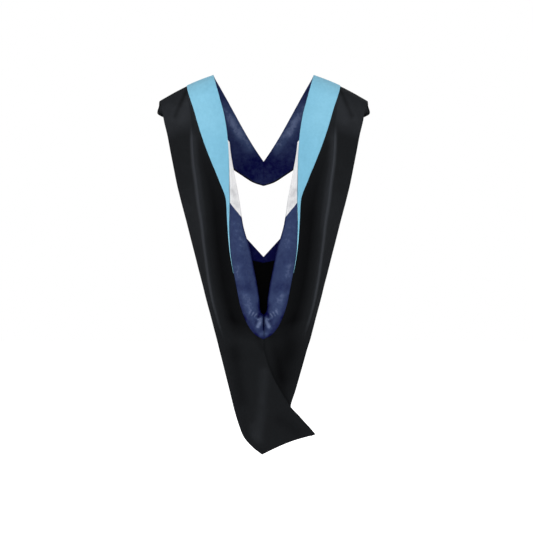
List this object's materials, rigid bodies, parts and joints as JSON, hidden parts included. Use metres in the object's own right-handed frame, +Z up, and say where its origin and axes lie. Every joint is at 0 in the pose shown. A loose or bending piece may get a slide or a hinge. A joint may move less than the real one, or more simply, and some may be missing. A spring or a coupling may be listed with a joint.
{
  "type": "academic hood",
  "caption": "Academic hood in its worn form: black shell, light blue velvet neckline trim, turned-out navy satin lining with white chevrons, slanted tail.",
  "frame": {"origin": "on the centre line, level with the two points where the neckline crosses the crest of the shoulders", "axes": "+Z up as worn; +Y the way the wearer faces; +X the wearer's right"},
  "size_m": [0.5274, 0.2025, 0.9199],
  "materials": {
    "black_cloth": "black woven dress cloth, dull with a faint sheen",
    "light_blue_velvet": "light blue short-pile velvet, dull",
    "navy_satin": "navy satin, soft sheen with cloudy highlights",
    "white_satin": "white satin, soft sheen"
  },
  "bodies": {
    "root": {"shell_left": "black_cloth", "trim_left": "light_blue_velvet", "yoke_lining_left": "navy_satin", "chevron_left": "white_satin", "cowl_lining_left": "navy_satin", "notch_facing_left": "navy_satin", "shell_right": "black_cloth", "trim_right": "light_blue_velvet", "yoke_lining_right": "navy_satin", "chevron_right": "white_satin", "cowl_lining_right": "navy_satin", "notch_facing_right": "navy_satin"}
  },
  "joints": []
}
